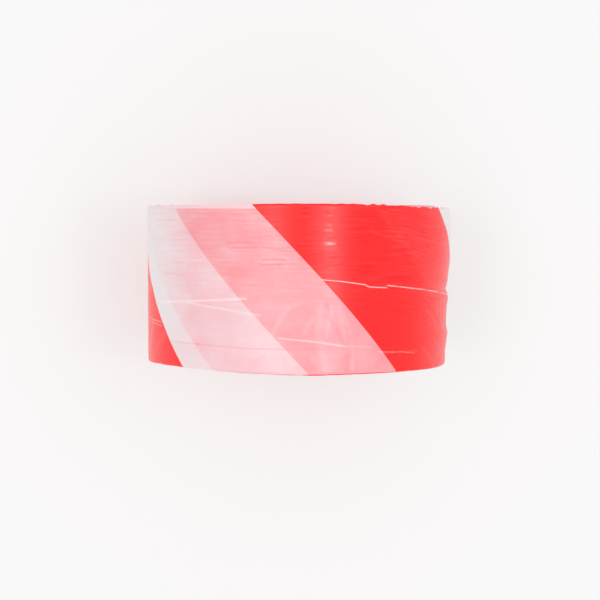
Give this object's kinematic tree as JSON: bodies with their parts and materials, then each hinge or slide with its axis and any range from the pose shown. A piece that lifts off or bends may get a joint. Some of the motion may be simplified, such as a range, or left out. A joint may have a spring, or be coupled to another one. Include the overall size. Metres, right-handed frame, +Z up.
{
  "type": "barrier tape roll",
  "caption": "Roll of red and white diagonally striped non-adhesive barrier film on a spirally wound paper core, lying on its rolling surface with a short free end.",
  "frame": {"origin": "the centre of the core's bore, on the roll's axis, halfway across the tape's width", "axes": "+Y along the roll's axis, +Z up with the roll lying on its rolling surface; the film is wound over the top towards -X, so its free end lies on the -X side"},
  "size_m": [0.1452, 0.075, 0.1445],
  "materials": {
    "core_paper": "matte",
    "start_tape": "satin",
    "wound_film": "satin",
    "film_sheet": "satin"
  },
  "bodies": {
    "roll": {"core_ply_1": "core_paper", "core_ply_2": "core_paper", "core_ply_3": "core_paper", "core_ply_4": "core_paper", "core_ply_5": "core_paper", "start_tape": "start_tape", "wound_film": "wound_film", "second_turn": "film_sheet", "outer_turn": "film_sheet"},
    "tail_root": {"tail_root": "film_sheet"},
    "tail_middle": {"tail_middle": "film_sheet"},
    "tail_tip": {"tail_tip": "film_sheet"}
  },
  "joints": [
    {"name": "tail_peel", "type": "hinge", "parent": "roll", "child": "tail_root", "pos_m": [-0.07209, 0, -0.01013], "axis": [0, 1, 0], "range_deg": [0, 100]},
    {"name": "tail_bend_middle", "type": "hinge", "parent": "tail_root", "child": "tail_middle", "pos_m": [-0.06779, 0, -0.02661], "axis": [0, 1, 0], "range_deg": [0, 30]},
    {"name": "tail_bend_tip", "type": "hinge", "parent": "tail_middle", "child": "tail_tip", "pos_m": [-0.05977, 0, -0.04165], "axis": [0, 1, 0], "range_deg": [0, 30]}
  ],
  "couplings": [
    {"joint": "tail_bend_middle", "follows": "tail_peel", "ratio": 0.3},
    {"joint": "tail_bend_tip", "follows": "tail_peel", "ratio": 0.3}
  ]
}
